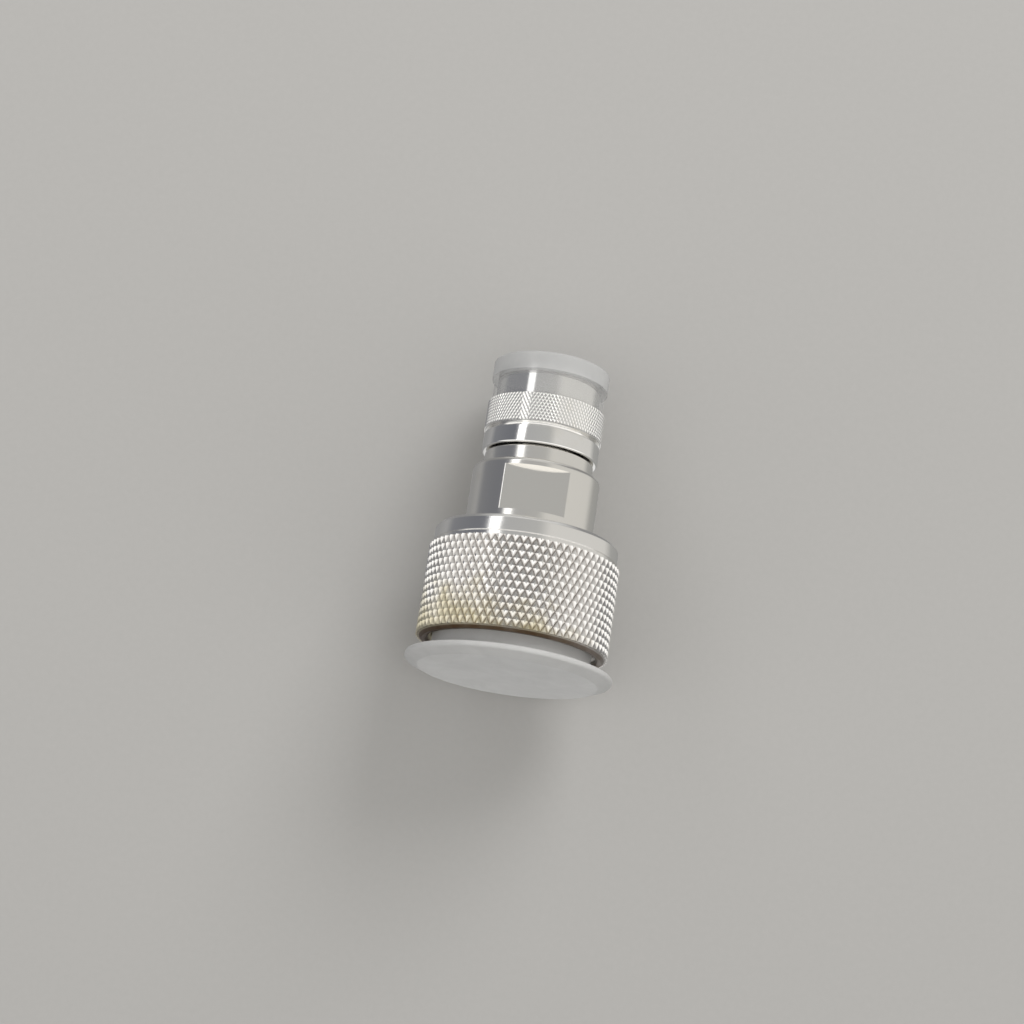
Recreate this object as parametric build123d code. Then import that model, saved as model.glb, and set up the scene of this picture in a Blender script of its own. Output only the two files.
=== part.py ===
from build123d import *
import os
from math import cos, pi, radians, sin, tan

# Coaxial adapter between a large and a small screw-on plug, millimetres, axis on Z.
# It stands on the dust plug of its large end, with the plug's outer face at z = 0.
# Diameters build up from the contact bore outwards, and heights from the plug upwards.

# Dust plug of the large end
plug_flange_overhang = 1.3
plug_flange_t = 1.85
plug_taper_width = 2.3
plug_taper_height = 0.95
plug_web_t = 1.25
plug_neck_show = 2.6
plug_insertion = 6.6
plug_wall = 1.1
plug_edge_r = 0.35

# Large end of the body
large_tube_bore_d = 16.0
large_tube_wall = 1.0
large_tube_recess = 2.9
large_tube_length = 7.75
large_tube_chamfer = 0.3
large_gasket_width = 3.05
large_gasket_t = 1.8
large_collar_rim = 0.32
large_collar_length = 10.0
large_collar_show = 0.9

# Large coupling nut, thread M29 x 1.5
large_thread_step = 1.27
large_thread_depth = 9.4
large_relief_depth = 1.06
large_nut_wall = 2.71
large_nut_chamfer = 0.6
large_knurl_count = 72
large_knurl_angle = 30.0
large_knurl_depth = 0.45
large_groove_width = 0.8
large_groove_depth = 0.8
large_rear_band_step = 0.6
large_rear_band_length = 2.9

# Bead and centre conductor of the large end
large_pin_length = 4.4
large_pin_recess = 1.9
large_pin_shoulder = 1.0
large_pin_tip_r = 1.5
large_conductor_d = 7.0
large_neck_step = 0.5
large_bead_inset = 0.4
large_bead_ledge = 0.7
large_bead_t = 4.1
link_stud_d = 3.0
link_stud_length = 3.6

# Joint between the two ends of the body, and the barrel that a spanner grips
spigot_wall = 1.8
barrel_shoulder = 1.2
barrel_length = 13.25
barrel_neck_step = 1.6
barrel_neck_length = 2.6
flat_depth = 1.5
flat_inset = 1.4
large_chamber_length = 6.8
conductor_step_lead = 0.6
seal_section_d = 1.2
seal_inset = 1.0

# Small end of the body
small_bore_d = 7.0
small_sleeve_wall = 0.53
small_sleeve_length = 6.6
small_sleeve_recess = 3.3
small_foot_width = 1.17
small_foot_t = 1.2
small_slot_count = 4
small_slot_width = 0.4
small_slot_length = 4.8
small_head_wall = 2.02
small_head_length = 5.1
small_gasket_rim = 0.32
small_gasket_t = 1.6

# Small coupling nut, thread 5/8-24
small_thread_step = 0.13
small_thread_depth = 7.3
small_relief_depth = 0.7
small_front_wall = 1.65
small_ring_step = 1.2
small_ring_length = 5.1
small_ring_chamfer = 0.1
small_groove_width = 0.75
small_rear_band_step = 1.05
small_rear_band_length = 3.1
small_nut_chamfer = 0.35
small_knurl_count = 102
small_knurl_angle = 30.0
small_knurl_depth = 0.22

# Bead and centre pin of the small end
small_conductor_d = 3.04
small_pin_d = 1.65
small_pin_length = 2.7
small_pin_recess = 5.3
small_pin_point = 0.9
small_pin_tip_d = 0.5
small_neck_step = 0.42
small_bead_ledge = 0.8
small_bead_t = 4.0
small_stud_d = 1.2
small_stud_length = 3.0

# Split spring rings that hold the nuts
large_snap_width = 1.3
large_snap_inset = 3.7
large_snap_depth = 0.9
small_snap_width = 0.9
small_snap_inset = 1.4
small_snap_depth = 0.7
snap_gap_angle = 24.0

# Dust cap of the small end
cap_head_step = 0.5
cap_head_height = 3.3
cap_top_t = 1.4
cap_skirt_wall = 0.6
cap_edge_r = 0.35

# Clearances
running_clearance = 0.08
screwed_clearance = 0.05
end_gap = 0.3
knurl_land_gap = 0.05

# Diameters of the large end, outwards
large_tube_d = large_tube_bore_d + 2 * large_tube_wall
large_gasket_bore_d = large_tube_d + 2 * screwed_clearance
large_gasket_d = large_gasket_bore_d + 2 * large_gasket_width
large_collar_d = large_gasket_d + 2 * large_collar_rim
large_thread_minor_d = large_collar_d + 2 * large_thread_step
large_nut_d = large_thread_minor_d + 2 * large_nut_wall
large_bead_d = large_tube_bore_d + 2 * large_bead_ledge
large_neck_d = large_conductor_d - 2 * large_neck_step
large_pin_d = large_conductor_d - 2 * large_pin_shoulder
spigot_d = large_tube_bore_d + 2 * spigot_wall
barrel_d = spigot_d + 2 * barrel_shoulder
barrel_neck_d = barrel_d - 2 * barrel_neck_step

# Diameters of the small end, outwards
small_sleeve_d = small_bore_d + 2 * small_sleeve_wall
small_foot_d = small_sleeve_d + 2 * small_foot_width
small_head_d = small_foot_d + 2 * small_head_wall
small_thread_minor_d = small_head_d + 2 * small_thread_step
small_front_d = small_thread_minor_d + 2 * small_front_wall
small_ring_d = small_front_d + 2 * small_ring_step
small_rear_band_d = small_front_d + 2 * small_rear_band_step
small_bead_d = small_bore_d + 2 * small_bead_ledge
small_neck_d = small_conductor_d - 2 * small_neck_step
cap_bore_d = small_front_d + 2 * screwed_clearance
cap_skirt_d = cap_bore_d + 2 * cap_skirt_wall
cap_head_d = cap_skirt_d + 2 * cap_head_step

# Heights along the axis
z_large_mouth = plug_flange_t + plug_neck_show
z_tube_end = z_large_mouth + large_tube_recess
z_large_shoulder = z_tube_end + large_pin_recess
z_large_seat = z_tube_end + large_tube_length
z_large_bead = z_large_seat + large_bead_inset
z_joint = z_large_bead + large_bead_t
z_body_shoulder = z_large_seat + large_collar_length
z_large_nut_rear = z_body_shoulder - large_collar_show
z_large_snap = z_large_nut_rear - large_snap_inset
z_chamber_end = z_joint + large_chamber_length
z_barrel_end = z_body_shoulder + barrel_length
z_small_nut_rear = z_barrel_end + end_gap
z_small_snap = z_small_nut_rear + small_snap_inset
z_rear_band_front = z_small_nut_rear + small_rear_band_length
z_ring_rear = z_rear_band_front + small_groove_width
z_ring_front = z_ring_rear + small_ring_length
z_small_seat = z_barrel_end + small_head_length
z_small_bead_front = z_small_seat - small_foot_t
z_small_bead = z_small_bead_front - small_bead_t
z_sleeve_end = z_small_seat + small_sleeve_length
z_small_shoulder = z_sleeve_end - small_pin_recess
z_small_mouth = z_sleeve_end + small_sleeve_recess
z_cap_top = z_small_mouth + end_gap + cap_top_t


def turned(*outline):
    """Body of revolution about Z from (radius, height) points."""
    return revolve(make_face(Polyline(*[(r, 0, z) for r, z in outline], close=True)), Axis.Z)


def disc(diameter, z_low, z_high):
    """Plain round bar about Z."""
    return cone(diameter, diameter, z_low, z_high)


def cone(low_d, high_d, z_low, z_high):
    """Round bar about Z that changes evenly from one diameter to another."""
    return turned((0, z_low), (low_d / 2, z_low), (high_d / 2, z_high), (0, z_high))


def ring(outer_d, inner_d, z_low, z_high):
    """Plain ring about Z."""
    return turned(
        (inner_d / 2, z_low), (outer_d / 2, z_low), (outer_d / 2, z_high), (inner_d / 2, z_high)
    )


def rims(solid, diameter, height):
    """Circular edges of one diameter at one height."""
    return [
        edge
        for edge in solid.edges().filter_by(GeomType.CIRCLE)
        if abs(edge.radius - diameter / 2) < 1e-4 and abs(edge.arc_center.Z - height) < 1e-4
    ]


def knurled_bar(crest_d, depth, count, angle, z_low, z_high):
    """Round bar with a diamond knurl: two crossing families of V grooves leave rows of pyramids.

    The grooves cross at the root diameter. Each pyramid has its point on the crest diameter,
    midway between four crossings, and four flat sides. The rows at both ends stay at the root.
    """
    columns = 2 * count
    row_pitch = pi * crest_d / columns / tan(radians(angle))
    rows = max(2, round((z_high - z_low) / row_pitch))

    def corner(column, row):
        is_point = (column + row) % 2 == 1 and 0 < row < rows
        radius = crest_d / 2 if is_point else crest_d / 2 - depth
        turn = 2 * pi * column / columns
        return Vector(radius * cos(turn), radius * sin(turn), z_low + (z_high - z_low) * row / rows)

    sides = []
    for row in range(rows + 1):
        for column in range(row % 2 + 1, columns + row % 2 + 1, 2):
            east, west = (column + 1, row), (column - 1, row)
            north, south = (column, row + 1), (column, row - 1)
            pairs = [(east, north), (north, west)] if row < rows else []
            pairs += [(west, south), (south, east)] if row > 0 else []
            for first, second in pairs:
                points = [corner(column, row), corner(*first), corner(*second)]
                sides.append(Face(Wire.make_polygon(points)))
    for row in (0, rows):
        sides.append(Face(Wire.make_polygon([corner(column, row) for column in range(columns)])))
    return Solid(Shell(sides))


def snap_groove(journal_d, depth, width, z_middle):
    """Space round a spring ring, partly in the journal and partly in the nut."""
    half = width / 2 + running_clearance
    outer_d = journal_d + 2 * (depth + running_clearance)
    return ring(outer_d, journal_d - 2 * depth, z_middle - half, z_middle + half)


def snap_ring(journal_d, depth, width, z_middle):
    """Split spring ring of flat section, seated in its groove on the journal."""
    outer_d = journal_d + 2 * depth
    inner_d = journal_d - 2 * (depth - screwed_clearance)
    whole = ring(outer_d, inner_d, z_middle - width / 2, z_middle + width / 2)
    gap_width = outer_d * sin(radians(snap_gap_angle / 2))
    return whole - Pos(outer_d / 2, 0, z_middle) * Box(outer_d, gap_width, 2 * width)


# Large end


def large_end_plug():
    skirt_d = large_thread_minor_d - 2 * running_clearance
    flange_d = large_nut_d + 2 * plug_flange_overhang
    z_skirt_end = z_large_mouth + plug_insertion
    face_d = flange_d - 2 * plug_taper_width
    plug = cone(face_d, flange_d, 0, plug_taper_height)
    plug += disc(flange_d, plug_taper_height, plug_flange_t)
    plug += disc(skirt_d, plug_flange_t, z_skirt_end)
    plug -= disc(skirt_d - 2 * plug_wall, plug_web_t, z_skirt_end)
    plug = fillet(rims(plug, flange_d, plug_flange_t), plug_edge_r)
    plug = fillet(rims(plug, flange_d, plug_taper_height), 2 * plug_edge_r)
    plug = fillet(rims(plug, face_d, 0), 2 * plug_edge_r)
    return chamfer(rims(plug, skirt_d, z_skirt_end), plug_wall / 2)


def large_coupling_nut():
    root_d = large_nut_d - 2 * large_knurl_depth
    land_d = root_d - 2 * knurl_land_gap
    groove_d = large_nut_d - 2 * large_groove_depth
    rear_d = large_nut_d - 2 * large_rear_band_step
    z_knurl = z_large_mouth + large_nut_chamfer
    z_chamfer = z_large_nut_rear - large_nut_chamfer
    z_rear_band = z_large_nut_rear - large_rear_band_length
    z_groove = z_rear_band - large_groove_width
    nut = knurled_bar(
        large_nut_d, large_knurl_depth, large_knurl_count, large_knurl_angle, z_knurl, z_groove
    )
    nut += cone(land_d - 2 * large_nut_chamfer, land_d, z_large_mouth, z_knurl)
    nut += disc(groove_d, z_groove, z_rear_band)
    nut += disc(rear_d, z_rear_band, z_chamfer)
    nut += cone(rear_d, rear_d - 2 * large_nut_chamfer, z_chamfer, z_large_nut_rear)

    relief_d = large_thread_minor_d + 2 * large_relief_depth
    z_thread_end = z_large_mouth + large_thread_depth
    z_bore = z_large_seat + 2 * end_gap
    nut -= cone(relief_d, large_thread_minor_d, z_large_mouth, z_large_mouth + large_relief_depth)
    nut -= disc(large_thread_minor_d, z_large_mouth, z_thread_end)
    nut -= disc(relief_d, z_thread_end, z_bore)
    nut -= disc(large_collar_d + 2 * running_clearance, z_bore, z_large_nut_rear)
    return nut - snap_groove(large_collar_d, large_snap_depth, large_snap_width, z_large_snap)


def large_snap_ring():
    return snap_ring(large_collar_d, large_snap_depth, large_snap_width, z_large_snap)


def large_end_body():
    body = disc(large_tube_d, z_tube_end, z_large_seat)
    body += disc(large_collar_d, z_large_seat, z_body_shoulder)
    body -= disc(large_tube_bore_d, z_tube_end, z_large_bead)
    body -= disc(large_bead_d, z_large_bead, z_joint)
    body -= disc(spigot_d + 2 * screwed_clearance, z_joint, z_body_shoulder)
    body -= snap_groove(large_collar_d, large_snap_depth, large_snap_width, z_large_snap)
    body = chamfer(rims(body, large_tube_d, z_tube_end), large_tube_chamfer)
    body = chamfer(rims(body, large_tube_bore_d, z_tube_end), large_tube_chamfer)
    return chamfer(rims(body, large_collar_d, z_body_shoulder), large_collar_show / 2)


def large_gasket():
    return ring(large_gasket_d, large_gasket_bore_d, z_large_seat - large_gasket_t, z_large_seat)


def large_insulator():
    return ring(large_bead_d, large_neck_d, z_large_bead, z_joint)


def large_centre_pin():
    z_tip = z_large_shoulder - large_pin_length
    pin = disc(large_pin_d, z_tip, z_large_shoulder)
    pin = fillet(rims(pin, large_pin_d, z_tip), large_pin_tip_r)
    pin += disc(large_conductor_d, z_large_shoulder, z_large_bead)
    pin += disc(large_neck_d, z_large_bead, z_joint)
    return pin + disc(link_stud_d, z_joint, z_joint + link_stud_length)


def link_conductor():
    z_step = z_chamber_end - conductor_step_lead
    z_stud_hole = z_small_bead - small_stud_length - end_gap
    link = disc(large_conductor_d, z_joint, z_step)
    link += disc(small_conductor_d, z_step, z_small_bead)
    link -= disc(link_stud_d + 2 * screwed_clearance, z_joint, z_joint + link_stud_length + end_gap)
    return link - disc(small_stud_d + 2 * screwed_clearance, z_stud_hole, z_small_bead)


# Small end


def small_end_body():
    z_neck = z_barrel_end - barrel_neck_length
    body = disc(spigot_d, z_joint, z_body_shoulder)
    body += disc(barrel_d, z_body_shoulder, z_neck)
    body += disc(barrel_neck_d, z_neck, z_barrel_end)
    body += disc(small_head_d, z_barrel_end, z_small_seat)
    body = chamfer(rims(body, barrel_d, z_neck), barrel_neck_step / 2)
    body -= disc(large_tube_bore_d, z_joint, z_chamber_end)
    body -= disc(small_bore_d, z_chamber_end, z_small_bead)
    body -= disc(small_bead_d, z_small_bead, z_small_bead_front)
    body -= disc(small_foot_d + 2 * screwed_clearance, z_small_bead_front, z_small_seat)
    body -= snap_groove(small_head_d, small_snap_depth, small_snap_width, z_small_snap)
    body -= seal_groove()
    return body - spanner_flats(z_body_shoulder + flat_inset, z_neck - flat_inset)


def seal_groove():
    """Groove for the sealing ring on the spigot, just below the shoulder."""
    half = seal_section_d / 2 + screwed_clearance
    z_middle = z_body_shoulder - seal_inset
    outer_d = spigot_d + 2 * screwed_clearance
    return ring(outer_d, outer_d - 2 * seal_section_d, z_middle - half, z_middle + half)


def spanner_flats(z_low, z_high):
    """Two blocks that leave flats on the barrel."""
    block = Box(barrel_d, 2 * flat_depth, z_high - z_low)
    z_middle = (z_low + z_high) / 2
    return Pos(0, barrel_d / 2, z_middle) * block + Pos(0, -barrel_d / 2, z_middle) * block


def body_seal():
    middle_r = spigot_d / 2 + screwed_clearance - seal_section_d / 2
    return Pos(0, 0, z_body_shoulder - seal_inset) * Torus(middle_r, seal_section_d / 2)


def small_insulator():
    return ring(small_bead_d, small_neck_d, z_small_bead, z_small_bead_front)


def small_outer_contact():
    sleeve = ring(small_foot_d, small_bore_d, z_small_bead_front, z_small_seat)
    sleeve += ring(small_sleeve_d, small_bore_d, z_small_seat, z_sleeve_end)
    slot = Box(small_sleeve_d, small_slot_width, small_slot_length)
    slot = Pos(small_sleeve_d / 2, 0, z_sleeve_end - small_slot_length / 2) * slot
    for index in range(small_slot_count):
        sleeve -= Rot(0, 0, (index + 0.5) * 360 / small_slot_count) * slot
    return sleeve


def small_gasket():
    outer_d = small_head_d - 2 * small_gasket_rim
    inner_d = small_sleeve_d + 2 * screwed_clearance
    return ring(outer_d, inner_d, z_small_seat, z_small_seat + small_gasket_t)


def small_centre_pin():
    z_tip = z_small_shoulder + small_pin_length
    pin = disc(small_stud_d, z_small_bead - small_stud_length, z_small_bead)
    pin += disc(small_neck_d, z_small_bead, z_small_bead_front)
    pin += disc(small_conductor_d, z_small_bead_front, z_small_shoulder)
    pin += disc(small_pin_d, z_small_shoulder, z_tip)
    point_width = (small_pin_d - small_pin_tip_d) / 2
    return chamfer(rims(pin, small_pin_d, z_tip), small_pin_point, point_width)


def small_snap_ring():
    return snap_ring(small_head_d, small_snap_depth, small_snap_width, z_small_snap)


def small_coupling_nut():
    root_d = small_ring_d - 2 * small_knurl_depth
    land_d = root_d - 2 * knurl_land_gap
    edge_d = land_d - 2 * small_ring_chamfer
    z_knurl_low = z_ring_rear + small_ring_chamfer
    z_knurl_high = z_ring_front - small_ring_chamfer
    nut = knurled_bar(
        small_ring_d, small_knurl_depth, small_knurl_count, small_knurl_angle, z_knurl_low, z_knurl_high
    )
    nut += cone(edge_d, land_d, z_ring_rear, z_knurl_low)
    nut += cone(land_d, edge_d, z_knurl_high, z_ring_front)
    nut += disc(small_front_d, z_rear_band_front, z_ring_rear)
    rear_band = disc(small_rear_band_d, z_small_nut_rear, z_rear_band_front)
    rear_band = chamfer(rims(rear_band, small_rear_band_d, z_rear_band_front), small_ring_chamfer)
    nut += chamfer(rims(rear_band, small_rear_band_d, z_small_nut_rear), small_nut_chamfer)
    front = disc(small_front_d, z_ring_front, z_small_mouth)
    nut += chamfer(rims(front, small_front_d, z_small_mouth), small_nut_chamfer)

    z_bore = z_small_seat - end_gap
    z_thread = z_small_mouth - small_thread_depth
    z_lead_in = z_small_mouth - small_relief_depth
    relief_d = small_thread_minor_d + 2 * small_relief_depth
    nut -= disc(small_head_d + 2 * running_clearance, z_small_nut_rear, z_bore)
    nut -= disc(relief_d, z_bore, z_thread)
    nut -= disc(small_thread_minor_d, z_thread, z_small_mouth)
    nut -= cone(small_thread_minor_d, relief_d, z_lead_in, z_small_mouth)
    return nut - snap_groove(small_head_d, small_snap_depth, small_snap_width, z_small_snap)


def small_end_cap():
    z_skirt = z_ring_front + end_gap
    z_head = z_cap_top - cap_head_height
    cap = disc(cap_skirt_d, z_skirt, z_head) + disc(cap_head_d, z_head, z_cap_top)
    cap -= disc(cap_bore_d, z_skirt, z_cap_top - cap_top_t)
    cap = fillet(rims(cap, cap_head_d, z_cap_top), cap_edge_r)
    return fillet(rims(cap, cap_head_d, z_head), cap_edge_r / 2)


pieces = [
    large_end_plug,
    large_coupling_nut,
    large_snap_ring,
    large_end_body,
    large_gasket,
    large_insulator,
    large_centre_pin,
    link_conductor,
    small_end_body,
    body_seal,
    small_insulator,
    small_outer_contact,
    small_gasket,
    small_centre_pin,
    small_snap_ring,
    small_coupling_nut,
    small_end_cap,
]

os.makedirs("parts", exist_ok=True)
for piece in pieces:
    export_step(piece(), "parts/" + piece.__name__ + ".step")
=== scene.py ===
from math import atan, cos, pi, radians, sin, tan

import bmesh
import bpy
import numpy as np
from mathutils import Matrix, Vector


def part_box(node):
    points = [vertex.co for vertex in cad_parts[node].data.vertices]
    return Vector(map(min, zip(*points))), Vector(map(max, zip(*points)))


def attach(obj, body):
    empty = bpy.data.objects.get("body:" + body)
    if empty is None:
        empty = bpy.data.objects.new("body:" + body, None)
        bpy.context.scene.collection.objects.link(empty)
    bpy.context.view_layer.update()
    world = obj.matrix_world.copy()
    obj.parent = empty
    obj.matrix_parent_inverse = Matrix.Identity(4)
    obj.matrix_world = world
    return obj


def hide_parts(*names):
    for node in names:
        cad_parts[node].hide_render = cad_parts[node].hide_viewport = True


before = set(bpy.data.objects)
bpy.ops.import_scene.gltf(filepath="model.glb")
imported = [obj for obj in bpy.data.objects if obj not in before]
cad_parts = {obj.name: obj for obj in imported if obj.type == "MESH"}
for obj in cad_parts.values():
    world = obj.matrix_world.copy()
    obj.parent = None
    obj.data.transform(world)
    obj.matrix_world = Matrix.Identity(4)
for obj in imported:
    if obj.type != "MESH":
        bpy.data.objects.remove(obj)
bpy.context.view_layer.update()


# Large half of the body. Turned from brass bar in one piece: the outer contact tube in front, and
# behind it the collar that the coupling nut turns on. Silver plated all over, bright and hardly
# touched, because the nut and the dust plug cover it.
MM = 0.001


def reach(node_name):
    """Radius, lowest and highest point of a turned piece, in millimetres, from the frame."""
    low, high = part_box(node_name)
    return high.x / MM, low.z / MM, high.z / MM


def rounded(corners, steps=5):
    """Closed section of (radius, height) points: each (radius, height, rounding) corner is an arc."""
    points = []
    for index, corner in enumerate(corners):
        here = Vector(corner[:2])
        rounding = corner[2] if len(corner) > 2 else 0
        if not rounding:
            points.append(tuple(here))
            continue
        back = (Vector(corners[index - 1][:2]) - here).normalized()
        ahead = (Vector(corners[(index + 1) % len(corners)][:2]) - here).normalized()
        half_turn = back.angle(ahead) / 2
        middle = here + (back + ahead).normalized() * rounding / sin(half_turn)
        start = here + back * rounding / tan(half_turn) - middle
        end = here + ahead * rounding / tan(half_turn) - middle
        for step in range(steps + 1):
            spoke = start.lerp(end, step / steps).normalized() * rounding
            points.append(tuple(middle + spoke))
    return points


def even_angles(columns):
    """Angles of mesh columns that are spaced evenly."""
    return np.arange(columns) * 2 * pi / columns


def spin(name, rings, angles, diagonals=None):
    """Mesh object of rings about Z. A ring is (radius, height); its radius may differ by angle.

    diagonals maps a ring to one flag for each angle, which says how the face above it is split.
    Such faces follow the given angles. The columns of all other rings are spaced evenly.
    """
    merge_distance = 1e-8
    sharp_edge = radians(28)
    columns = len(angles)
    even = even_angles(columns)
    split_rings = {row + side for row in diagonals or {} for side in (0, 1)}
    points = np.zeros((len(rings), columns, 3))
    for row, (radius, height) in enumerate(rings):
        turn = angles if row in split_rings else even
        points[row, :, 0] = radius * np.cos(turn)
        points[row, :, 1] = radius * np.sin(turn)
        points[row, :, 2] = height
    faces = []
    for row in range(len(rings)):
        here, above = row * columns, (row + 1) % len(rings) * columns
        flags = (diagonals or {}).get(row)
        for column in range(columns):
            beside = (column + 1) % columns
            a, b, c, d = here + column, here + beside, above + beside, above + column
            if flags is None:
                faces.append((a, b, c, d))
            elif flags[column]:
                faces += [(a, b, c), (a, c, d)]
            else:
                faces += [(a, b, d), (b, c, d)]
    mesh = bpy.data.meshes.new(name)
    mesh.from_pydata((points.reshape(-1, 3) * MM).tolist(), [], faces)
    tidy = bmesh.new()
    tidy.from_mesh(mesh)
    bmesh.ops.remove_doubles(tidy, verts=tidy.verts, dist=merge_distance)
    bmesh.ops.dissolve_degenerate(tidy, edges=tidy.edges, dist=merge_distance)
    bmesh.ops.recalc_face_normals(tidy, faces=tidy.faces)
    tidy.to_mesh(mesh)
    tidy.free()
    mesh.shade_smooth()
    mesh.set_sharp_from_angle(angle=sharp_edge)
    piece = bpy.data.objects.new(name, mesh)
    bpy.context.scene.collection.objects.link(piece)
    weighted = piece.modifiers.new("even_normals", "WEIGHTED_NORMAL")
    weighted.keep_sharp = True
    return piece


def turned(name, corners, columns=192):
    """Plain turned piece from the corners of its section."""
    return spin(name, rounded(corners), even_angles(columns))


def set_inputs(tree, made, inputs):
    """Sets the inputs of a node to values, or links them to sockets."""
    for key, value in inputs.items():
        if isinstance(value, bpy.types.NodeSocket):
            tree.links.new(value, made.inputs[key])
        else:
            made.inputs[key].default_value = value


def node(tree, kind, inputs=None, **settings):
    """Shader node with its settings, and its inputs set to values or linked to sockets."""
    made = tree.nodes.new("ShaderNode" + kind)
    for key, value in settings.items():
        setattr(made, key, value)
    set_inputs(tree, made, inputs or {})
    return made


def maths(tree, operation, first, second, use_clamp=False):
    """Value worked out from two others."""
    return node(tree, "Math", {0: first, 1: second}, operation=operation, use_clamp=use_clamp).outputs[0]


def scaled(tree, value, start=0.0, full=1.0, low=0.0, high=1.0):
    """Value that goes from low to high while another goes from start to full, and stays inside."""
    ends = {"From Min": start, "From Max": full, "To Min": low, "To Max": high}
    return node(tree, "MapRange", {"Value": value, **ends}).outputs[0]


def mixed(tree, share, first, second):
    """Colour that goes from the first to the second as share goes from 0 to 1."""
    return node(tree, "MixRGB", {"Fac": share, "Color1": first, "Color2": second}).outputs[0]


def noise(tree, place, scale, detail, **more):
    """Value of a noise texture."""
    inputs = {"Vector": place, "Scale": scale, "Detail": detail, **more}
    return node(tree, "TexNoise", inputs).outputs["Fac"]


def relief(tree, height, strength, depth):
    """Normal of a surface with fine relief of the given height."""
    return node(tree, "Bump", {"Height": height, "Strength": strength, "Distance": depth}).outputs["Normal"]


def lathe_places(tree):
    """Place on the piece, its radius and height, and both of them as the place for lathe marks."""
    place = node(tree, "TexCoord").outputs["Object"]
    parts = node(tree, "SeparateXYZ", {"Vector": place}).outputs
    flat = node(tree, "CombineXYZ", {"X": parts["X"], "Y": parts["Y"]}).outputs[0]
    radius = node(tree, "VectorMath", {0: flat}, operation="LENGTH").outputs["Value"]
    along = node(tree, "CombineXYZ", {"X": radius, "Z": parts["Z"]}).outputs[0]
    return place, radius, parts["Z"], along


def group_tree(name, inputs, outputs):
    """Empty shader node group with named sockets, its input sockets and its output node."""
    tree = bpy.data.node_groups.new(name, "ShaderNodeTree")
    for label, kind, value in inputs:
        socket = tree.interface.new_socket(label, in_out="INPUT", socket_type="NodeSocket" + kind)
        socket.default_value = value
    for label, kind in outputs:
        tree.interface.new_socket(label, in_out="OUTPUT", socket_type="NodeSocket" + kind)
    return tree, tree.nodes.new("NodeGroupInput").outputs, tree.nodes.new("NodeGroupOutput")


def plated_metal_group():
    """Silver plate on turned metal: lathe marks round the axis, yellow tarnish that grows towards
    one side, painted shade in the valleys between two radii, and a brown line of painted shade and tarnish
    up to one height."""
    knurl_slack = 0.03 * MM
    line_start, line_full = 0.1 * MM, -0.2 * MM
    valley_fall = 2.2
    dull_share = 0.3
    pit_share = 0.4
    tree, given, result = group_tree(
        "plated_metal",
        [
            ("Plate", "Color", (0.9, 0.88, 0.84, 1)),
            ("Tarnish", "Color", (0.74, 0.64, 0.42, 1)),
            ("Tarnish Amount", "Float", 0.3),
            ("Stain Towards", "Vector", (0, 0, 0)),
            ("Stain Start", "Float", 0),
            # The dark colour below paints shade in the knurl valleys, and shade and tarnish in the line.
            ("Dirt", "Color", (0.13, 0.115, 0.1, 1)),
            ("Line Top", "Float", -1),
            ("Valley Radius", "Float", 0),
            ("Crest Radius", "Float", 0.001),
            # The next input sets how much painted shade the knurl valleys get.
            ("Valley Dirt", "Float", 0),
            ("Roughness", "Float", 0.2),
        ],
        [("Color", "Color"), ("Roughness", "Float"), ("Height", "Float")],
    )
    place, radius, height, along = lathe_places(tree)
    marks = noise(tree, along, scale=9000, detail=2)
    patches = noise(tree, place, scale=170, detail=5, Roughness=0.62)
    specks = noise(tree, place, scale=1500, detail=3)

    towards = node(tree, "VectorMath", {0: place, 1: given["Stain Towards"]}, operation="DOT_PRODUCT")
    spread = maths(tree, "ADD", towards.outputs["Value"], given["Stain Start"])
    cloud = maths(tree, "ADD", patches, spread)
    stain = maths(tree, "MULTIPLY", scaled(tree, cloud, start=0.5, full=0.85), given["Tarnish Amount"])

    # Painted shade: the knurl valleys get darker with depth, from the crest radius down to the valley
    # radius, partly mottled.
    valley = scaled(tree, radius, given["Crest Radius"], given["Valley Radius"])
    deep = maths(tree, "POWER", valley, valley_fall)
    under = maths(tree, "SUBTRACT", given["Valley Radius"], radius)
    in_knurl = maths(tree, "LESS_THAN", under, knurl_slack)
    knurl_shade = maths(tree, "MULTIPLY", deep, in_knurl)
    even_valley_shade = maths(tree, "MULTIPLY", knurl_shade, given["Valley Dirt"])
    mottled = maths(tree, "MULTIPLY", even_valley_shade, scaled(tree, specks, start=0.35, full=0.75))
    painted_valley_shade = maths(tree, "ADD", even_valley_shade, mottled)

    # Painted shade and tarnish: a brown line over everything below the given height, that is the front
    # chamfer and mouth of the nut.
    above_line = maths(tree, "SUBTRACT", height, given["Line Top"])
    line = scaled(tree, above_line, line_start, line_full)
    mouth_shade_and_tarnish = maths(tree, "MULTIPLY", line, scaled(tree, cloud, start=0.2, low=0.7))
    dirt = maths(tree, "ADD", painted_valley_shade, mouth_shade_and_tarnish, use_clamp=True)

    yellowed = mixed(tree, stain, given["Plate"], given["Tarnish"])
    dulled = maths(tree, "ADD", stain, dirt, use_clamp=True)
    dull = maths(tree, "MULTIPLY", dulled, dull_share)
    worn = maths(tree, "ADD", scaled(tree, marks, low=-0.05, high=0.07), dull)
    pitted = maths(tree, "MULTIPLY", specks, pit_share)
    outputs = {
        "Color": mixed(tree, dirt, yellowed, given["Dirt"]),
        "Roughness": maths(tree, "ADD", worn, given["Roughness"], use_clamp=True),
        "Height": maths(tree, "ADD", marks, pitted),
    }
    set_inputs(tree, result, outputs)
    return tree


plated_metal = plated_metal_group()


def new_material(name):
    """Material with its node tree and its Principled shader."""
    material = bpy.data.materials.new(name)
    material.use_nodes = True
    return material, material.node_tree, material.node_tree.nodes["Principled BSDF"]


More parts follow.
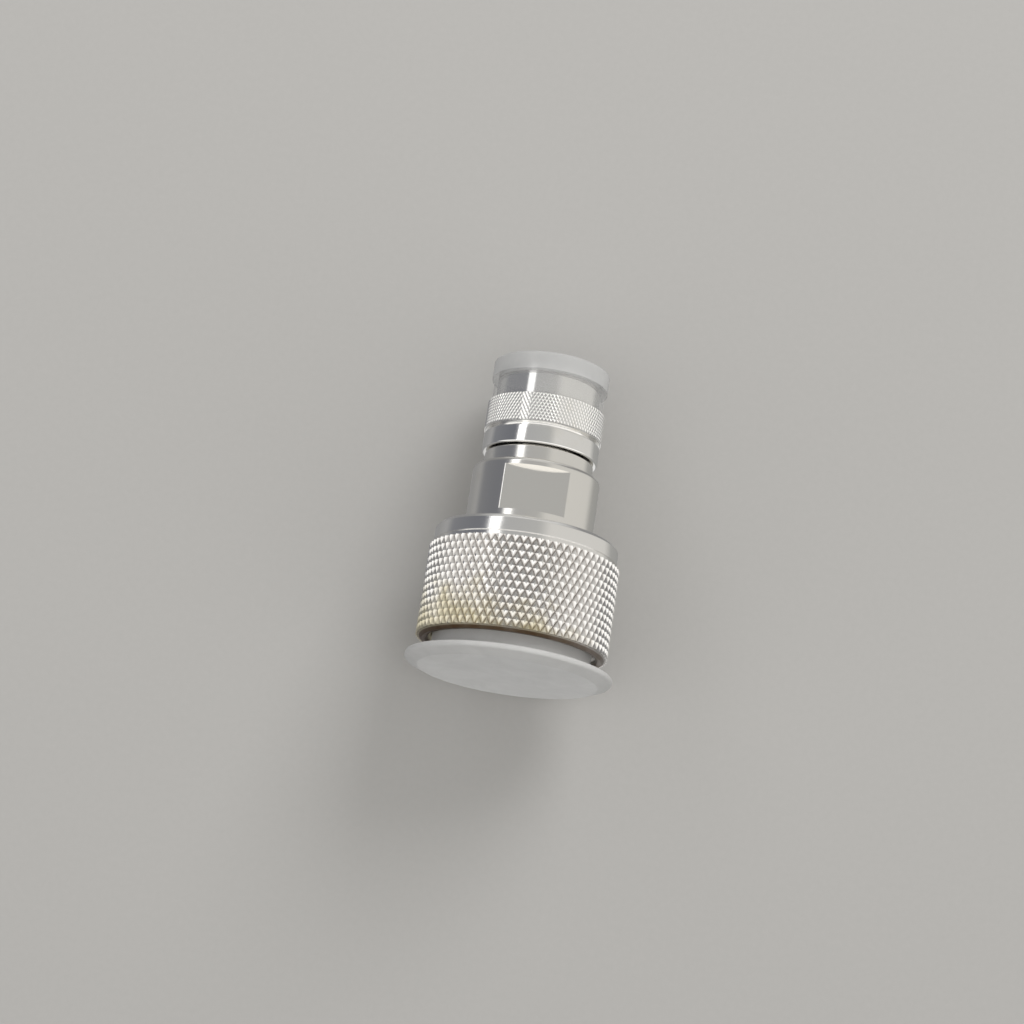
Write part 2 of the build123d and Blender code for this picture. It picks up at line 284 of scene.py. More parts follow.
def grouped(tree, group, values):
    """Outputs of a node group, whose inputs are set by name: stain_start sets Stain Start."""
    inputs = {key.replace("_", " ").title(): value for key, value in values.items()}
    return node(tree, "Group", inputs, node_tree=group).outputs


def feed_shader(tree, shader, colour, roughness, normal):
    """Links what changes over the surface to its shader."""
    set_inputs(tree, shader, {"Base Color": colour, "Roughness": roughness, "Normal": normal})


def plated(name, bump=0.12, **values):
    """Metal material with the plated surface, and its own values for the group's inputs."""
    material, tree, shader = new_material(name)
    shader.inputs["Metallic"].default_value = 1.0
    surface = grouped(tree, plated_metal, values)
    marks = relief(tree, surface["Height"], bump, depth=0.02 * MM)
    feed_shader(tree, shader, surface["Color"], surface["Roughness"], marks)
    return material


def give_material(piece, material):
    """Gives a piece one material."""
    piece.data.materials.clear()
    piece.data.materials.append(material)


def finish_piece(piece, material, body, node_name):
    """Gives a piece its material and body, and lets it stand for its CAD node."""
    give_material(piece, material)
    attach(piece, body)
    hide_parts(node_name)


collar_r, tube_end, body_shoulder = reach("large_end_body")
bead_r, large_bead, joint = reach("large_insulator")
seat = reach("large_gasket")[2]
snap_low, snap_high = reach("large_snap_ring")[1:]
tube_bore_r = 8.0
tube_r = 9.0
socket_r = 9.85
snap_floor_r = 11.52
snap_slack = 0.08

body_silver = plated("body_silver", tarnish_amount=0.35, stain_start=-0.12, roughness=0.17)

large_body = turned(
    "large_body_shell",
    [
        (tube_bore_r, tube_end, 0.25),
        (tube_r, tube_end, 0.25),
        (tube_r, seat, 0.1),
        (collar_r, seat, 0.15),
        (collar_r, snap_low - snap_slack),
        (snap_floor_r, snap_low - snap_slack),
        (snap_floor_r, snap_high + snap_slack),
        (collar_r, snap_high + snap_slack),
        (collar_r, body_shoulder, 0.4),
        (socket_r, body_shoulder, 0.1),
        (socket_r, joint),
        (bead_r, joint),
        (bead_r, large_bead),
        (tube_bore_r, large_bead),
    ],
)
finish_piece(large_body, body_silver, "adapter_body", "large_end_body")


# Flat seal at the foot of the contact tube, punched or moulded from silicone rubber. The mating
# socket's rim presses on it, so its edges are soft and its faces slightly matt.
def shade(colour, factor):
    """Colour made lighter or darker."""
    return [part * factor for part in colour[:3]] + [1]


def soft_rubber(name, colour):
    """Silicone rubber: even colour with a faint bloom, and a fine moulded grain."""
    material, tree, shader = new_material(name)
    place = node(tree, "TexCoord").outputs["Object"]
    bloom = noise(tree, place, scale=400, detail=4)
    grain = noise(tree, place, scale=4000, detail=2)
    tint = mixed(tree, bloom, colour, shade(colour, factor=1.35))
    rough = scaled(tree, bloom, low=0.45, high=0.62)
    normal = relief(tree, grain, strength=0.25, depth=0.03 * MM)
    feed_shader(tree, shader, tint, rough, normal)
    return material


seal_rubber = soft_rubber("seal_rubber", (0.3, 0.045, 0.02, 1))
gasket_bore_slack = 0.05

gasket_r, gasket_low, gasket_high = reach("large_gasket")
large_seal = turned(
    "large_flat_seal",
    [
        (tube_r + gasket_bore_slack, gasket_low, 0.3),
        (gasket_r, gasket_low, 0.3),
        (gasket_r, gasket_high, 0.1),
        (tube_r + gasket_bore_slack, gasket_high, 0.1),
    ],
    columns=128,
)
finish_piece(large_seal, seal_rubber, "adapter_body", "large_gasket")


# Bead that holds the centre conductor in the large tube. Turned from white fluoroplastic rod, so
# it is waxy, very slightly see-through and shows fine rings from the tool.
def waxy_plastic(name):
    """White fluoroplastic with fine turning rings."""
    material, tree, shader = new_material(name)
    shader.inputs["Subsurface Weight"].default_value = 0.35
    shader.inputs["Subsurface Scale"].default_value = 0.6 * MM
    shader.inputs["Subsurface Radius"].default_value = (1, 0.95, 0.9)
    place, _, _, along = lathe_places(tree)
    rings = noise(tree, along, scale=5000, detail=2)
    haze = noise(tree, place, scale=300, detail=3)
    tint = mixed(tree, haze, (0.84, 0.84, 0.82, 1), (0.9, 0.9, 0.89, 1))
    rough = scaled(tree, rings, low=0.34, high=0.5)
    normal = relief(tree, rings, strength=0.2, depth=0.02 * MM)
    feed_shader(tree, shader, tint, rough, normal)
    return material


white_bead = waxy_plastic("white_bead")
neck_r = 3.0
large_bead_piece = turned(
    "large_bead",
    [
        (neck_r, large_bead, 0.05),
        (bead_r, large_bead, 0.1),
        (bead_r, joint, 0.1),
        (neck_r, joint, 0.05),
    ],
    columns=128,
)
finish_piece(large_bead_piece, white_bead, "adapter_body", "large_insulator")


# Centre conductors. Three turned pieces that screw into each other: the large pin with its round
# tip, the link inside the body, and the small pin with its pointed tip. Thick bright silver,
# because current runs on it.
contact_silver = plated(
    "contact_silver", plate=(0.93, 0.92, 0.89, 1), tarnish_amount=0.15, stain_start=-0.15, roughness=0.12
)
conductor_r, large_tip, stud_end = reach("large_centre_pin")
large_shoulder = tube_end + 1.9
large_pin_r = 2.5
stud_r = 1.5
large_pin = turned(
    "large_pin",
    [
        (0, large_tip),
        (large_pin_r, large_tip, 1.5),
        (large_pin_r, large_shoulder, 0.1),
        (conductor_r, large_shoulder, 0.15),
        (conductor_r, large_bead, 0.1),
        (neck_r, large_bead),
        (neck_r, joint),
        (stud_r, joint),
        (stud_r, stud_end, 0.2),
        (0, stud_end),
    ],
    columns=128,
)
finish_piece(large_pin, contact_silver, "adapter_body", "large_centre_pin")

small_conductor_r, small_stud_end, small_tip = reach("small_centre_pin")
small_bead_r, small_bead, small_bead_front = reach("small_insulator")
small_shoulder = small_tip - 2.7
small_pin_r = 0.825
small_point = 0.9
small_tip_r = 0.25
small_neck_r = 1.1
small_stud_r = 0.6
small_pin = turned(
    "small_pin",
    [
        (0, small_stud_end),
        (small_stud_r, small_stud_end, 0.1),
        (small_stud_r, small_bead),
        (small_neck_r, small_bead),
        (small_neck_r, small_bead_front),
        (small_conductor_r, small_bead_front, 0.05),
        (small_conductor_r, small_shoulder, 0.15),
        (small_pin_r, small_shoulder, 0.05),
        (small_pin_r, small_tip - small_point, 0.3),
        (small_tip_r, small_tip, 0.12),
        (0, small_tip),
    ],
    columns=96,
)
finish_piece(small_pin, contact_silver, "adapter_body", "small_centre_pin")

give_material(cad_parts["link_conductor"], contact_silver)


# Small half of the body. Turned from brass bar and silver plated: a screwed spigot that closes the
# large half, with a rubber ring in its groove, a barrel with two milled flats for a spanner, and
# the journal of the small nut.
barrel_r, _, small_seat = reach("small_end_body")
spigot_r = 9.8
barrel_neck_r = 9.4
barrel_end = reach("small_coupling_nut")[1] - 0.3
barrel_neck_low = barrel_end - 2.6
flat_half = 9.5
flat_low = body_shoulder + 1.4
flat_high = barrel_neck_low - 1.4
journal_r = 7.22
small_bore_r = 3.5
foot_r = 5.25
chamber_end = joint + 6.8
seal_low, seal_high = reach("body_seal")[1:]
seal_floor_r = 8.65
seal_slack = 0.05
small_snap_low, small_snap_high = reach("small_snap_ring")[1:]
small_snap_floor_r = 6.52
flat_edge = 0.05

body_section = rounded(
    [
        (tube_bore_r, joint),
        (spigot_r, joint, 0.2),
        (spigot_r, seal_low - seal_slack),
        (seal_floor_r, seal_low - seal_slack),
        (seal_floor_r, seal_high + seal_slack),
        (spigot_r, seal_high + seal_slack),
        (spigot_r, body_shoulder),
        (barrel_r, body_shoulder, 0.2),
        (barrel_r, flat_low - flat_edge),
        (barrel_r, flat_low),
        (barrel_r, flat_high),
        (barrel_r, flat_high + flat_edge),
        (barrel_r, barrel_neck_low, 0.75),
        (barrel_neck_r, barrel_neck_low, 0.1),
        (barrel_neck_r, barrel_end, 0.2),
        (journal_r, barrel_end),
        (journal_r, small_snap_low - snap_slack),
        (small_snap_floor_r, small_snap_low - snap_slack),
        (small_snap_floor_r, small_snap_high + snap_slack),
        (journal_r, small_snap_high + snap_slack),
        (journal_r, small_seat, 0.15),
        (foot_r, small_seat),
        (foot_r, small_bead_front),
        (small_bead_r, small_bead_front),
        (small_bead_r, small_bead),
        (small_bore_r, small_bead),
        (small_bore_r, chamber_end),
        (tube_bore_r, chamber_end),
    ]
)
body_columns = 360
height_slack = 1e-6
least_sine = 0.01
body_angles = even_angles(body_columns)
flat_reach = flat_half / np.maximum(np.abs(np.sin(body_angles)), least_sine)
body_rings = []
for radius, height in body_section:
    along_flats = flat_low - height_slack <= height <= flat_high + height_slack
    milled = along_flats and radius > barrel_neck_r
    body_rings.append((np.minimum(radius, flat_reach) if milled else radius, height))
small_body = spin("small_body_shell", body_rings, body_angles)
finish_piece(small_body, body_silver, "adapter_body", "small_end_body")

give_material(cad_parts["body_seal"], seal_rubber)


# Small bead, slotted outer contact and flat seal of the small end. The sleeve is spring bronze,
# silver plated, slit by four saw cuts so that it grips the mating socket.
small_bead_piece = turned(
    "small_bead",
    [
        (small_neck_r, small_bead, 0.05),
        (small_bead_r, small_bead, 0.1),
        (small_bead_r, small_bead_front, 0.1),
        (small_neck_r, small_bead_front, 0.05),
    ],
    columns=96,
)
finish_piece(small_bead_piece, white_bead, "adapter_body", "small_insulator")

give_material(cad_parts["small_outer_contact"], contact_silver)

small_gasket_r, small_gasket_low, small_gasket_high = reach("small_gasket")
sleeve_r = 4.03
small_seal = turned(
    "small_flat_seal",
    [
        (sleeve_r + gasket_bore_slack, small_gasket_low, 0.1),
        (small_gasket_r, small_gasket_low, 0.1),
        (small_gasket_r, small_gasket_high, 0.3),
        (sleeve_r + gasket_bore_slack, small_gasket_high, 0.3),
    ],
    columns=96,
)
finish_piece(small_seal, seal_rubber, "adapter_body", "small_gasket")


# Spring rings. Split rings of bronze wire, one under each nut, which let the nut turn and hold it
# on the body.
spring_bronze = plated(
    "spring_bronze", plate=(0.62, 0.42, 0.22, 1), tarnish=(0.25, 0.13, 0.05, 1), tarnish_amount=0.4
)
for name in ("large_snap_ring", "small_snap_ring"):
    give_material(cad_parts[name], spring_bronze)


# Large coupling nut. Turned from brass bar, with a diamond knurl rolled into its outside, an
# M29 x 1.5 thread inside, and silver plate. The plate has yellowed, mostly low on one side. The
# brown line along the front edge is painted shade and tarnish; the knurl valleys get painted shade.
def knurl_angles(count, steps):
    """Angles of the mesh columns: each half pitch of the knurl is divided at the given steps."""
    half_pitch = pi / count
    return np.array([(column + step) * half_pitch for column in range(2 * count) for step in steps])


def knurl_rings(count, rows, steps, crest_r, root_r, low, high, flat_share, first_ring):
    """Rings of a diamond knurl, and how the faces from first_ring on split along the grooves.

    In half pitches, grooves run where column plus row, or column less row, is an even number, and
    points stand where it is odd. Points are cut flat over flat_share, as a roller leaves them.
    """
    columns = np.array([column + step for column in range(2 * count) for step in steps])
    heights = [row + step for row in range(rows) for step in steps] + [rows]
    rings = []
    for row in heights:
        first = (columns + row) / 2
        second = (columns - row) / 2
        off_first = 2 * np.abs(first - np.round(first))
        off_second = 2 * np.abs(second - np.round(second))
        rise = np.minimum(np.minimum(off_first, off_second), 1 - flat_share) / (1 - flat_share)
        rings.append((root_r + (crest_r - root_r) * rise, low + (high - low) * row / rows))
    split = {}
    count_steps = len(steps)
    places = np.arange(2 * count * count_steps)
    for row in range(rows * count_steps):
        rising = (places - row) % (2 * count_steps)
        falling = (places + row + 1) % (2 * count_steps)
        quarter = (places // count_steps + row // count_steps) % 2 == 0
        split[first_ring + row] = np.where(rising == 0, True, np.where(falling == 0, False, quarter))
    return rings, split


def thread_rings(columns, pitch, minor_r, major_r, start, end, lead_r, lead_at, lead_sign):
    """Rings of an inside thread from one height to another, cut off by the lead-in cone.

    A flank takes up 5/16 of the pitch, as at 60 degrees, and half a land 0.3 of a flank.
    """
    rings_per_turn = 8
    flank = 5 / 16
    half_land = 0.3
    angles = even_angles(columns)
    count = round(abs(end - start) / pitch * rings_per_turn)
    rings = []
    for step in range(count + 1):
        height = start + (end - start) * step / count
        phase = (height / pitch - angles / (2 * pi)) % 1
        from_land = 0.5 - np.abs(phase - 0.5)
        groove = np.clip(from_land / flank - half_land, 0, 1)
        cone = lead_r - lead_sign * (height - lead_at)
        rings.append((np.maximum(minor_r + (major_r - minor_r) * groove, cone), height))
    return rings


nut_r, nut_mouth, nut_rear = reach("large_coupling_nut")
knurl_count = 72
knurl_rows = 12
knurl_flat = 0.24
knurl_steps = (0, knurl_flat, 1 - knurl_flat)
knurl_root_r = nut_r - 0.39
nut_bar_r = knurl_root_r - 0.05
front_chamfer = 0.6
groove_r = nut_r - 0.8
rear_band_r = nut_r - 0.6
rear_band_low = nut_rear - 2.9
knurl_high = rear_band_low - 0.8
thread_minor_r = 13.69
thread_major_r = 14.5
thread_pitch = 1.5
thread_end = nut_mouth + 9.4
thread_inset = 0.01
relief_r = 14.75
bore_low = seat + 0.6
nut_bore_r = collar_r + 0.08
snap_roof_r = collar_r + 0.98

nut_angles = knurl_angles(knurl_count, knurl_steps)
nut_rings = [(relief_r, nut_mouth)] + rounded(
    [(nut_bar_r - front_chamfer, nut_mouth), (nut_bar_r, nut_mouth + front_chamfer)]
)
knurled, knurl_split = knurl_rings(
    knurl_count,
    knurl_rows,
    knurl_steps,
    crest_r=nut_r,
    root_r=knurl_root_r,
    low=nut_mouth + front_chamfer,
    high=knurl_high,
    flat_share=knurl_flat,
    first_ring=len(nut_rings),
)
nut_rings += knurled
nut_rings += rounded(
    [
        (groove_r, knurl_high),
        (groove_r, rear_band_low),
        (rear_band_r, rear_band_low, 0.1),
        (rear_band_r, nut_rear - front_chamfer, 0.2),
        (rear_band_r - front_chamfer, nut_rear, 0.15),
        (nut_bore_r, nut_rear, 0.1),
        (nut_bore_r, snap_high + snap_slack),
        (snap_roof_r, snap_high + snap_slack),
        (snap_roof_r, snap_low - snap_slack),
        (nut_bore_r, snap_low - snap_slack),
        (nut_bore_r, bore_low),
        (relief_r, bore_low),
        (relief_r, thread_end),
    ]
)
nut_rings += thread_rings(
    len(nut_angles),
    thread_pitch,
    thread_minor_r,
    thread_major_r,
    start=thread_end - thread_inset,
    end=nut_mouth + thread_inset,
    lead_r=relief_r,
    lead_at=nut_mouth,
    lead_sign=1,
)
large_nut = spin("large_knurled_nut", nut_rings, nut_angles, knurl_split)
nut_silver = plated(
    "large_nut_silver",
    bump=0.1,
    plate=(0.94, 0.925, 0.9, 1),
    tarnish_amount=0.75,
    stain_towards=(-13, -3, -40),
    stain_start=0.38,
    tarnish=(0.8, 0.72, 0.47, 1),
    # The dark brown is painted shade and tarnish in the line on the front edge, and painted shade in the
    # knurl valleys.
    dirt=(0.1, 0.055, 0.028, 1),
    line_top=(nut_mouth + front_chamfer) * MM,
    valley_radius=knurl_root_r * MM,
    crest_radius=nut_r * MM,
    # The knurl valleys are darkened as painted shade.
    valley_dirt=0.4,
    roughness=0.14,
)
finish_piece(large_nut, nut_silver, "large_nut", "large_coupling_nut")


# Small coupling nut. Turned from brass bar and silver plated: a smooth front over its 5/8-24
# thread, a raised ring with a fine knurl, and a smooth rear band.
ring_r, small_rear, small_mouth = reach("small_coupling_nut")
fine_count = 102
fine_rows = 9
fine_flat = 0.5
fine_steps = (0, fine_flat)
fine_root_r = ring_r - 0.09
fine_bar_r = fine_root_r - 0.05
fine_guide_r = fine_root_r - 0.1
small_front_r = 9.0
small_band_r = small_front_r + 1.05
band_front = small_rear + 3.1
ring_rear = band_front + 0.75
ring_front = ring_rear + 5.1
ring_chamfer = 0.1
small_minor_r = 7.35
small_major_r = 7.94
small_pitch = 25.4 / 24
small_thread_end = small_mouth - 7.3
small_relief_r = 8.05
small_bore_low = small_seat - 0.3
small_nut_bore_r = journal_r + 0.08
small_snap_roof_r = journal_r + 0.78

# The last corner only guides the rounding of the first one, so it is left out of the rings.
rear_corners = [
    (small_nut_bore_r, small_rear, 0.05),
    (small_band_r, small_rear, 0.3),
    (small_band_r, band_front, 0.1),
    (small_front_r, band_front, 0.05),
    (small_front_r, ring_rear, 0.05),
    (fine_bar_r - ring_chamfer, ring_rear, 0.02),
    (fine_bar_r, ring_rear + ring_chamfer),
    (fine_guide_r, ring_rear + ring_chamfer),
]
small_angles = knurl_angles(fine_count, fine_steps)
small_rings = rounded(rear_corners)[:-1]
fine_knurl, fine_split = knurl_rings(
    fine_count,
    fine_rows,
    fine_steps,
    crest_r=ring_r,
    root_r=fine_root_r,
    low=ring_rear + ring_chamfer,
    high=ring_front - ring_chamfer,
    flat_share=fine_flat,
    first_ring=len(small_rings),
)
small_rings += fine_knurl
small_rings += rounded(
    [
        (fine_bar_r, ring_front - ring_chamfer),
        (fine_bar_r - ring_chamfer, ring_front, 0.02),
        (small_front_r, ring_front, 0.05),
        (small_front_r, small_mouth, 0.3),
        (small_relief_r, small_mouth),
    ]
)
small_rings += thread_rings(
    len(small_angles),
    small_pitch,
    small_minor_r,
    small_major_r,
    start=small_mouth - thread_inset,
    end=small_thread_end + thread_inset,
    lead_r=small_relief_r,
    lead_at=small_mouth,
    lead_sign=-1,
)
small_rings += rounded(
    [
        (small_relief_r, small_thread_end),
        (small_relief_r, small_bore_low),
        (small_nut_bore_r, small_bore_low),
        (small_nut_bore_r, small_snap_high + snap_slack),
        (small_snap_roof_r, small_snap_high + snap_slack),
        (small_snap_roof_r, small_snap_low - snap_slack),
        (small_nut_bore_r, small_snap_low - snap_slack),
    ]
)
small_nut = spin("small_knurled_nut", small_rings, small_angles, fine_split)
small_silver = plated(
    "small_nut_silver",
    bump=0.1,
    plate=(0.94, 0.93, 0.91, 1),
    tarnish_amount=0.3,
    stain_start=-0.1,
    valley_radius=fine_root_r * MM,
    crest_radius=ring_r * MM,
    # The valleys of the fine knurl are darkened a little as painted shade.
    valley_dirt=0.08,
    roughness=0.11,
)
finish_piece(small_nut, small_silver, "small_nut", "small_coupling_nut")


# Dust covers. Injection moulded from natural polyethylene, so they let light through and are
# milky: the thick flange and the thick head are frosted, the thin skirt of the cap nearly clear.
def cloudy_plastic_group():
    """Milky moulded plastic: how dense it looks changes at one height, with faint clouds and scuffs."""
    cloud_grey = (0.3, 0.3, 0.3, 1)
    cloud_share = 0.12
    tree, given, result = group_tree(
        "cloudy_plastic",
        [
            ("Tint", "Color", (0.8, 0.8, 0.79, 1)),
            ("Clear Density", "Float", 0.15),
            ("Frosted Density", "Float", 0.5),
            ("Clear To", "Float", 0),
            ("Frosted From", "Float", 0.001),
            ("Roughness", "Float", 0.3),
        ],
        [("Color", "Color"), ("Density", "Float"), ("Roughness", "Float"), ("Height", "Float")],
    )
    place = node(tree, "TexCoord").outputs["Object"]
    height = node(tree, "SeparateXYZ", {"Vector": place}).outputs["Z"]
    clouds = noise(tree, place, scale=190, detail=4, Distortion=0.8)
    scuffs = noise(tree, place, scale=1500, detail=3)
    frost = scaled(
        tree,
        height,
        given["Clear To"],
        given["Frosted From"],
        given["Clear Density"],
        given["Frosted Density"],
    )
    streaky = scaled(tree, clouds, low=0.85, high=1.15)
    darker = mixed(tree, cloud_share, given["Tint"], cloud_grey)
    uneven = scaled(tree, scuffs, low=-0.06, high=0.1)
    outputs = {
        "Color": mixed(tree, clouds, given["Tint"], darker),
        "Density": maths(tree, "MULTIPLY", frost, streaky, use_clamp=True),
        "Roughness": maths(tree, "ADD", uneven, given["Roughness"], use_clamp=True),
        "Height": maths(tree, "ADD", clouds, scuffs),
    }
    set_inputs(tree, result, outputs)
    return tree


cloudy_plastic = cloudy_plastic_group()


def milky(name, bump, rim_density, **values):
    """Polyethylene with the cloudy surface and the group's values. Its rims look denser, edge on."""
    rim_fall = 4.0
    material, tree, shader = new_material(name)
    shader.inputs["IOR"].default_value = 1.5
    surface = grouped(tree, cloudy_plastic, values)
    edge_on = node(tree, "LayerWeight", {"Blend": 0.5}).outputs["Facing"]
    rim = maths(tree, "MULTIPLY", maths(tree, "POWER", edge_on, rim_fall), rim_density)
    density = maths(tree, "MAXIMUM", surface["Density"], rim)
    set_inputs(tree, shader, {"Alpha": density})
    scuffs = relief(tree, surface["Height"], bump, depth=0.05 * MM)
    feed_shader(tree, shader, surface["Color"], surface["Roughness"], scuffs)
    return material


flange_r, plug_low, plug_end = reach("large_end_plug")
face_r = flange_r - 2.3
rim_low = 0.95
flange_high = 1.85
web_t = 1.25
plug_frost_fade = 1
skirt_r = thread_minor_r - 0.08
skirt_bore_r = skirt_r - 1.1
plug = turned(
    "large_dust_plug",
    [
        (0, plug_low),
        (face_r, plug_low, 0.7),
        (flange_r, rim_low, 0.6),
        (flange_r, flange_high, 0.35),
        (skirt_r, flange_high, 0.25),
        (skirt_r, plug_end, 0.5),
        (skirt_bore_r, plug_end, 0.1),
        (skirt_bore_r, web_t, 0.5),
        (0, web_t),
    ],
    columns=256,
)
plug_plastic = milky(
    "plug_plastic",
    bump=0.25,
    rim_density=0.85,
    tint=(0.66, 0.655, 0.645, 1),
    clear_density=0.76,
    frosted_density=0.8,
    clear_to=(flange_high + plug_frost_fade) * MM,
    frosted_from=flange_high * MM,
    roughness=0.34,
)
finish_piece(plug, plug_plastic, "large_plug", "large_end_plug")

head_r, cap_low, cap_top = reach("small_end_cap")
cap_skirt_r = 9.65
cap_bore_r = 9.05
head_low = cap_top - 3.3
cap_roof = cap_top - 1.4
frost_start = head_low - 0.15
frost_full = head_low + 0.25
cap = turned(
    "small_dust_cap",
    [
        (cap_bore_r, cap_low, 0.1),
        (cap_skirt_r, cap_low, 0.15),
        (cap_skirt_r, head_low, 0.15),
        (head_r, head_low, 0.18),
        (head_r, cap_top, 0.35),
        (0, cap_top),
        (0, cap_roof),
        (cap_bore_r, cap_roof, 0.2),
    ],
    columns=256,
)
cap_plastic = milky(
    "cap_plastic",
    bump=0.08,
    rim_density=0.7,
    tint=(0.66, 0.66, 0.655, 1),
    clear_density=0.08,
    frosted_density=0.55,
    clear_to=frost_start * MM,
    frosted_from=frost_full * MM,
    roughness=0.2,
)
finish_piece(cap, cap_plastic, "small_cap", "small_end_cap")


# Stage. A pale floor that shows from above only, and the pale table top that the object lies on in
# the photograph's view, which shows from that side only. Neither stops light on its way to the
# object.
def seen_directly(tree):
    """1 for a ray from the camera, also behind clear plastic, and 0 for light and reflections."""
    ray = node(tree, "LightPath").outputs
    return maths(tree, "MAXIMUM", ray["Is Camera Ray"], ray["Is Transmission Ray"])


def pale_surface(name, colour):
    """Pale matt surface, seen by the camera from its front only."""
    material, tree, _ = new_material(name)
    tree.nodes.clear()
    place = node(tree, "TexCoord").outputs["Object"]
    speckle = noise(tree, place, scale=900, detail=3)
    tint = mixed(tree, speckle, colour, shade(colour, factor=0.95))
    matt = node(tree, "BsdfDiffuse", {"Color": tint}).outputs[0]
    unseen = node(tree, "BsdfTransparent").outputs[0]
    behind = node(tree, "NewGeometry").outputs["Backfacing"]
    front = maths(tree, "SUBTRACT", 1.0, behind)
    seen = maths(tree, "MULTIPLY", front, seen_directly(tree))
    shown = node(tree, "MixShader", {0: seen, 1: unseen, 2: matt}).outputs[0]
    node(tree, "OutputMaterial", {"Surface": shown})
    return material


def stage_sheet(name, colour, half_size, place, tilt):
    """Square stage surface that faces up before it is tilted about X."""
    mesh = bpy.data.meshes.new(name)
    corners = ((-1, -1), (1, -1), (1, 1), (-1, 1))
    mesh.from_pydata([(x * half_size, y * half_size, 0) for x, y in corners], [], [(0, 1, 2, 3)])
    mesh.materials.append(pale_surface(name, colour))
    sheet = bpy.data.objects.new(name, mesh)
    sheet.location = place
    sheet.rotation_euler = (tilt, 0, 0)
    bpy.context.scene.collection.objects.link(sheet)


floor_grey = (0.66, 0.65, 0.63, 1)
floor_half = 1500 * MM
floor_place = (0, 0, -0.05 * MM)
stage_sheet("floor", floor_grey, floor_half, floor_place, tilt=0)

# The table top leans along the lying object, and the small cap clears it when it is pulled off.
table_grey = (0.46, 0.451, 0.436, 1)
table_half = 140 * MM
table_place = (0, nut_r * MM, knurl_high * MM)
cap_room = 13
pulled_cap_top = cap_top + cap_room
lying_lean = atan((nut_r - head_r) / (pulled_cap_top - knurl_high))
stage_sheet("table_top", table_grey, table_half, table_place, tilt=pi / 2 + lying_lean)


# Light. The metal mirrors the sky: pale and a little warm at the right, cool and dark at the left
# with one narrow bright strip, darker high up and bright low in front, which draws the facets of
# the knurls. The fill and back lamps light the matt surfaces, and the metal doesn't mirror them.
world = bpy.data.worlds.new("studio")
bpy.context.scene.world = world
world.use_nodes = True
sky = world.node_tree
sky.nodes.clear()
heading = node(sky, "SeparateXYZ", {"Vector": node(sky, "TexCoord").outputs["Generated"]}).outputs
towards_camera = maths(sky, "MULTIPLY", heading["Y"], -1.0)
turn = maths(sky, "ARCTAN2", heading["X"], towards_camera)
around = node(sky, "ValToRGB", {"Fac": scaled(sky, turn, start=-pi, full=pi)})
studio_stops = [
    (-180, (0.8, 0.8, 0.79)),
    (-172, (0.28, 0.28, 0.28)),
    (-146, (0.28, 0.28, 0.28)),
    (-122, (0.34, 0.34, 0.34)),
    (-108, (0.2, 0.205, 0.22)),
    (-58, (0.15, 0.155, 0.175)),
    (-36, (0.4, 0.4, 0.4)),
    (12, (0.44, 0.44, 0.43)),
    (26, (0.64, 0.63, 0.605)),
    (112, (0.62, 0.61, 0.585)),
    (128, (0.35, 0.35, 0.34)),
    (172, (0.3, 0.3, 0.29)),
    (176, (0.8, 0.8, 0.79)),
]
ramp = around.color_ramp
ready_stops = len(ramp.elements)
for index, (degrees, colour) in enumerate(studio_stops):
    position = (degrees + 180) / 360
    stop = ramp.elements[index] if index < ready_stops else ramp.elements.new(position)
    stop.position = position
    stop.color = (*colour, 1)


def sky_band(axis, start, full):
    """How far one axis of the direction has gone from the start of a zone to its full strength."""
    return scaled(sky, heading[axis], start, full)


high = sky_band("Z", 0.42, 0.6)
high_in_front = maths(sky, "MULTIPLY", high, sky_band("Y", -0.4, -0.62))
overhead = sky_band("Z", 0.8, 1.0)
low_in_front = maths(sky, "MULTIPLY", sky_band("Z", -0.02, -0.14), sky_band("Y", 0.15, -0.05))
underneath = sky_band("Z", -0.65, -0.85)
sky_zones = [
    (high, (0.26, 0.26, 0.26, 1)),
    (high_in_front, (0.64, 0.63, 0.61, 1)),
    (overhead, (0.8, 0.8, 0.79, 1)),
    (low_in_front, (1.14, 1.13, 1.11, 1)),
    (underneath, (0.42, 0.42, 0.41, 1)),
]
sky_colour = around.outputs[0]
for zone, colour in sky_zones:
    sky_colour = mixed(sky, zone, sky_colour, colour)
backdrop_grey = (0.46, 0.45, 0.43, 1)
lit = node(sky, "Background", {"Color": sky_colour, "Strength": 1.0}).outputs[0]
plain = node(sky, "Background", {"Color": backdrop_grey, "Strength": 1.0}).outputs[0]
shown_sky = node(sky, "MixShader", {0: seen_directly(sky), 1: lit, 2: plain}).outputs[0]
node(sky, "OutputWorld", {"Surface": shown_sky})


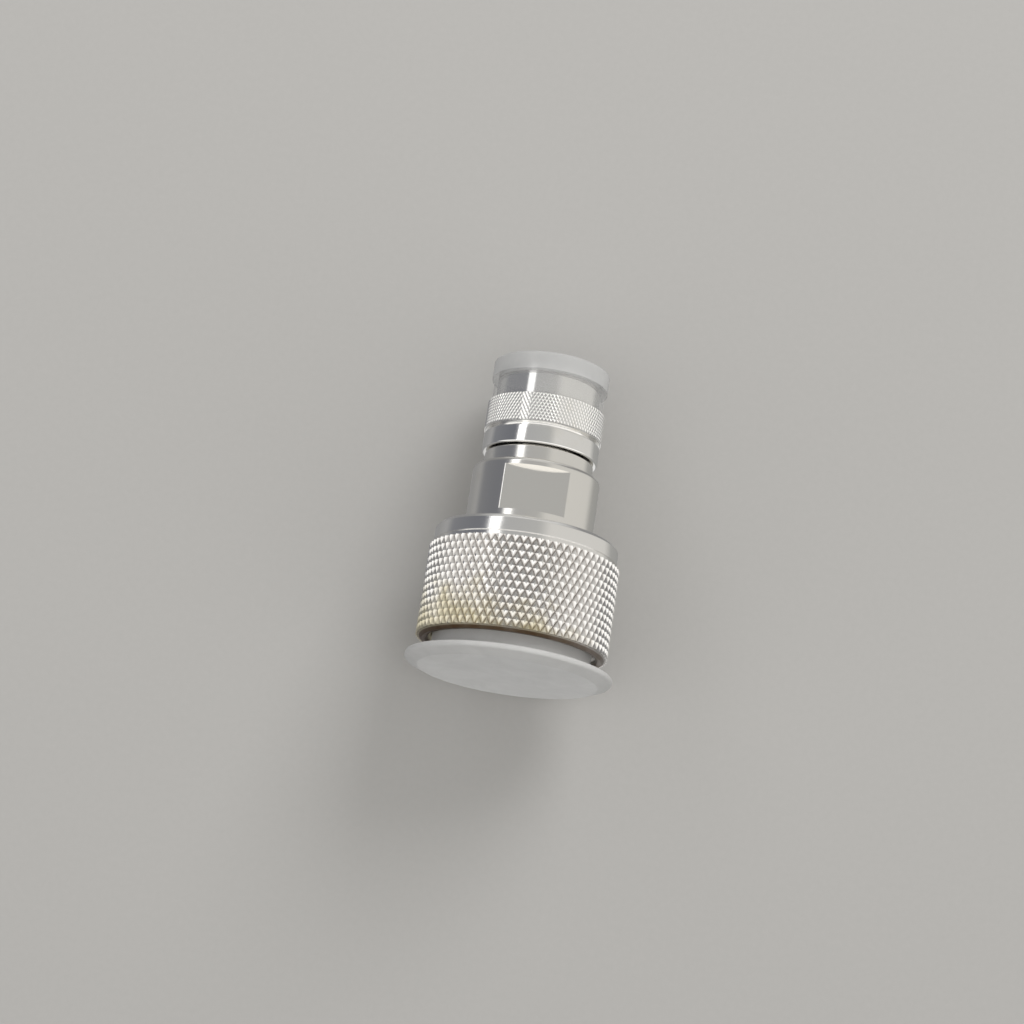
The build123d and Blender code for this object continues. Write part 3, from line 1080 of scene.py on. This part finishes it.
def soft_lamp(name, size, power, heading_deg, lift_deg, distance, mirrored=True):
    """Area lamp that looks at the middle of the object. Heading 0 is the photograph's side."""
    lamp = bpy.data.lights.new(name, "AREA")
    lamp.shape = "RECTANGLE"
    lamp.size, lamp.size_y = size
    lamp.energy = power
    turn_to = radians(heading_deg)
    lift = radians(lift_deg)
    middle = Vector((0, 0, 28 * MM))
    offset = Vector((sin(turn_to) * cos(lift), -cos(turn_to) * cos(lift), sin(lift)))
    holder = bpy.data.objects.new(name, lamp)
    holder.location = middle + offset * distance
    holder.rotation_euler = (-offset).to_track_quat("-Z", "Y").to_euler()
    holder.visible_camera = False
    holder.visible_glossy = mirrored
    bpy.context.scene.collection.objects.link(holder)


soft_lamp("strip", (0.13, 0.45), power=0.22, heading_deg=-43, lift_deg=15, distance=0.5)
soft_lamp("fill", (0.6, 0.6), power=7.0, heading_deg=28, lift_deg=40, distance=1.2, mirrored=False)
soft_lamp("back", (0.6, 0.6), power=2.5, heading_deg=180, lift_deg=55, distance=1.0, mirrored=False)


# Camera. It stands where the photograph was taken from: nearly straight above the lying object,
# which for the standing one is in front of it and below, and turned so that the axis leans.
focal_px = 2500
picture_px = 1024
sensor_mm = 36
ring_px = (546.5, 411.1)
ring_distance = 434.2 * MM
rise = radians(15.43)
lean = radians(8.59)

forward = Vector((0, cos(rise), sin(rise)))
level = Vector((1, 0, 0))
upright = Vector((0, -sin(rise), cos(rise)))
right = level * cos(lean) + upright * sin(lean)
up = upright * cos(lean) - level * sin(lean)
ring_right = (ring_px[0] - picture_px / 2) / focal_px * ring_distance
ring_down = (ring_px[1] - picture_px / 2) / focal_px * ring_distance
ring_centre = Vector((0, 0, ring_front * MM))
lens = bpy.data.cameras.new("camera")
lens.sensor_width = sensor_mm
lens.lens = focal_px / picture_px * sensor_mm
lens.clip_start = 0.01
lens.clip_end = 20
camera = bpy.data.objects.new("camera", lens)
spot = ring_centre - right * ring_right + up * ring_down - forward * ring_distance
camera.matrix_world = Matrix.Translation(spot) @ Matrix((right, up, -forward)).transposed().to_4x4()
bpy.context.scene.collection.objects.link(camera)
bpy.context.scene.camera = camera
bpy.context.scene.view_settings.view_transform = "Standard"
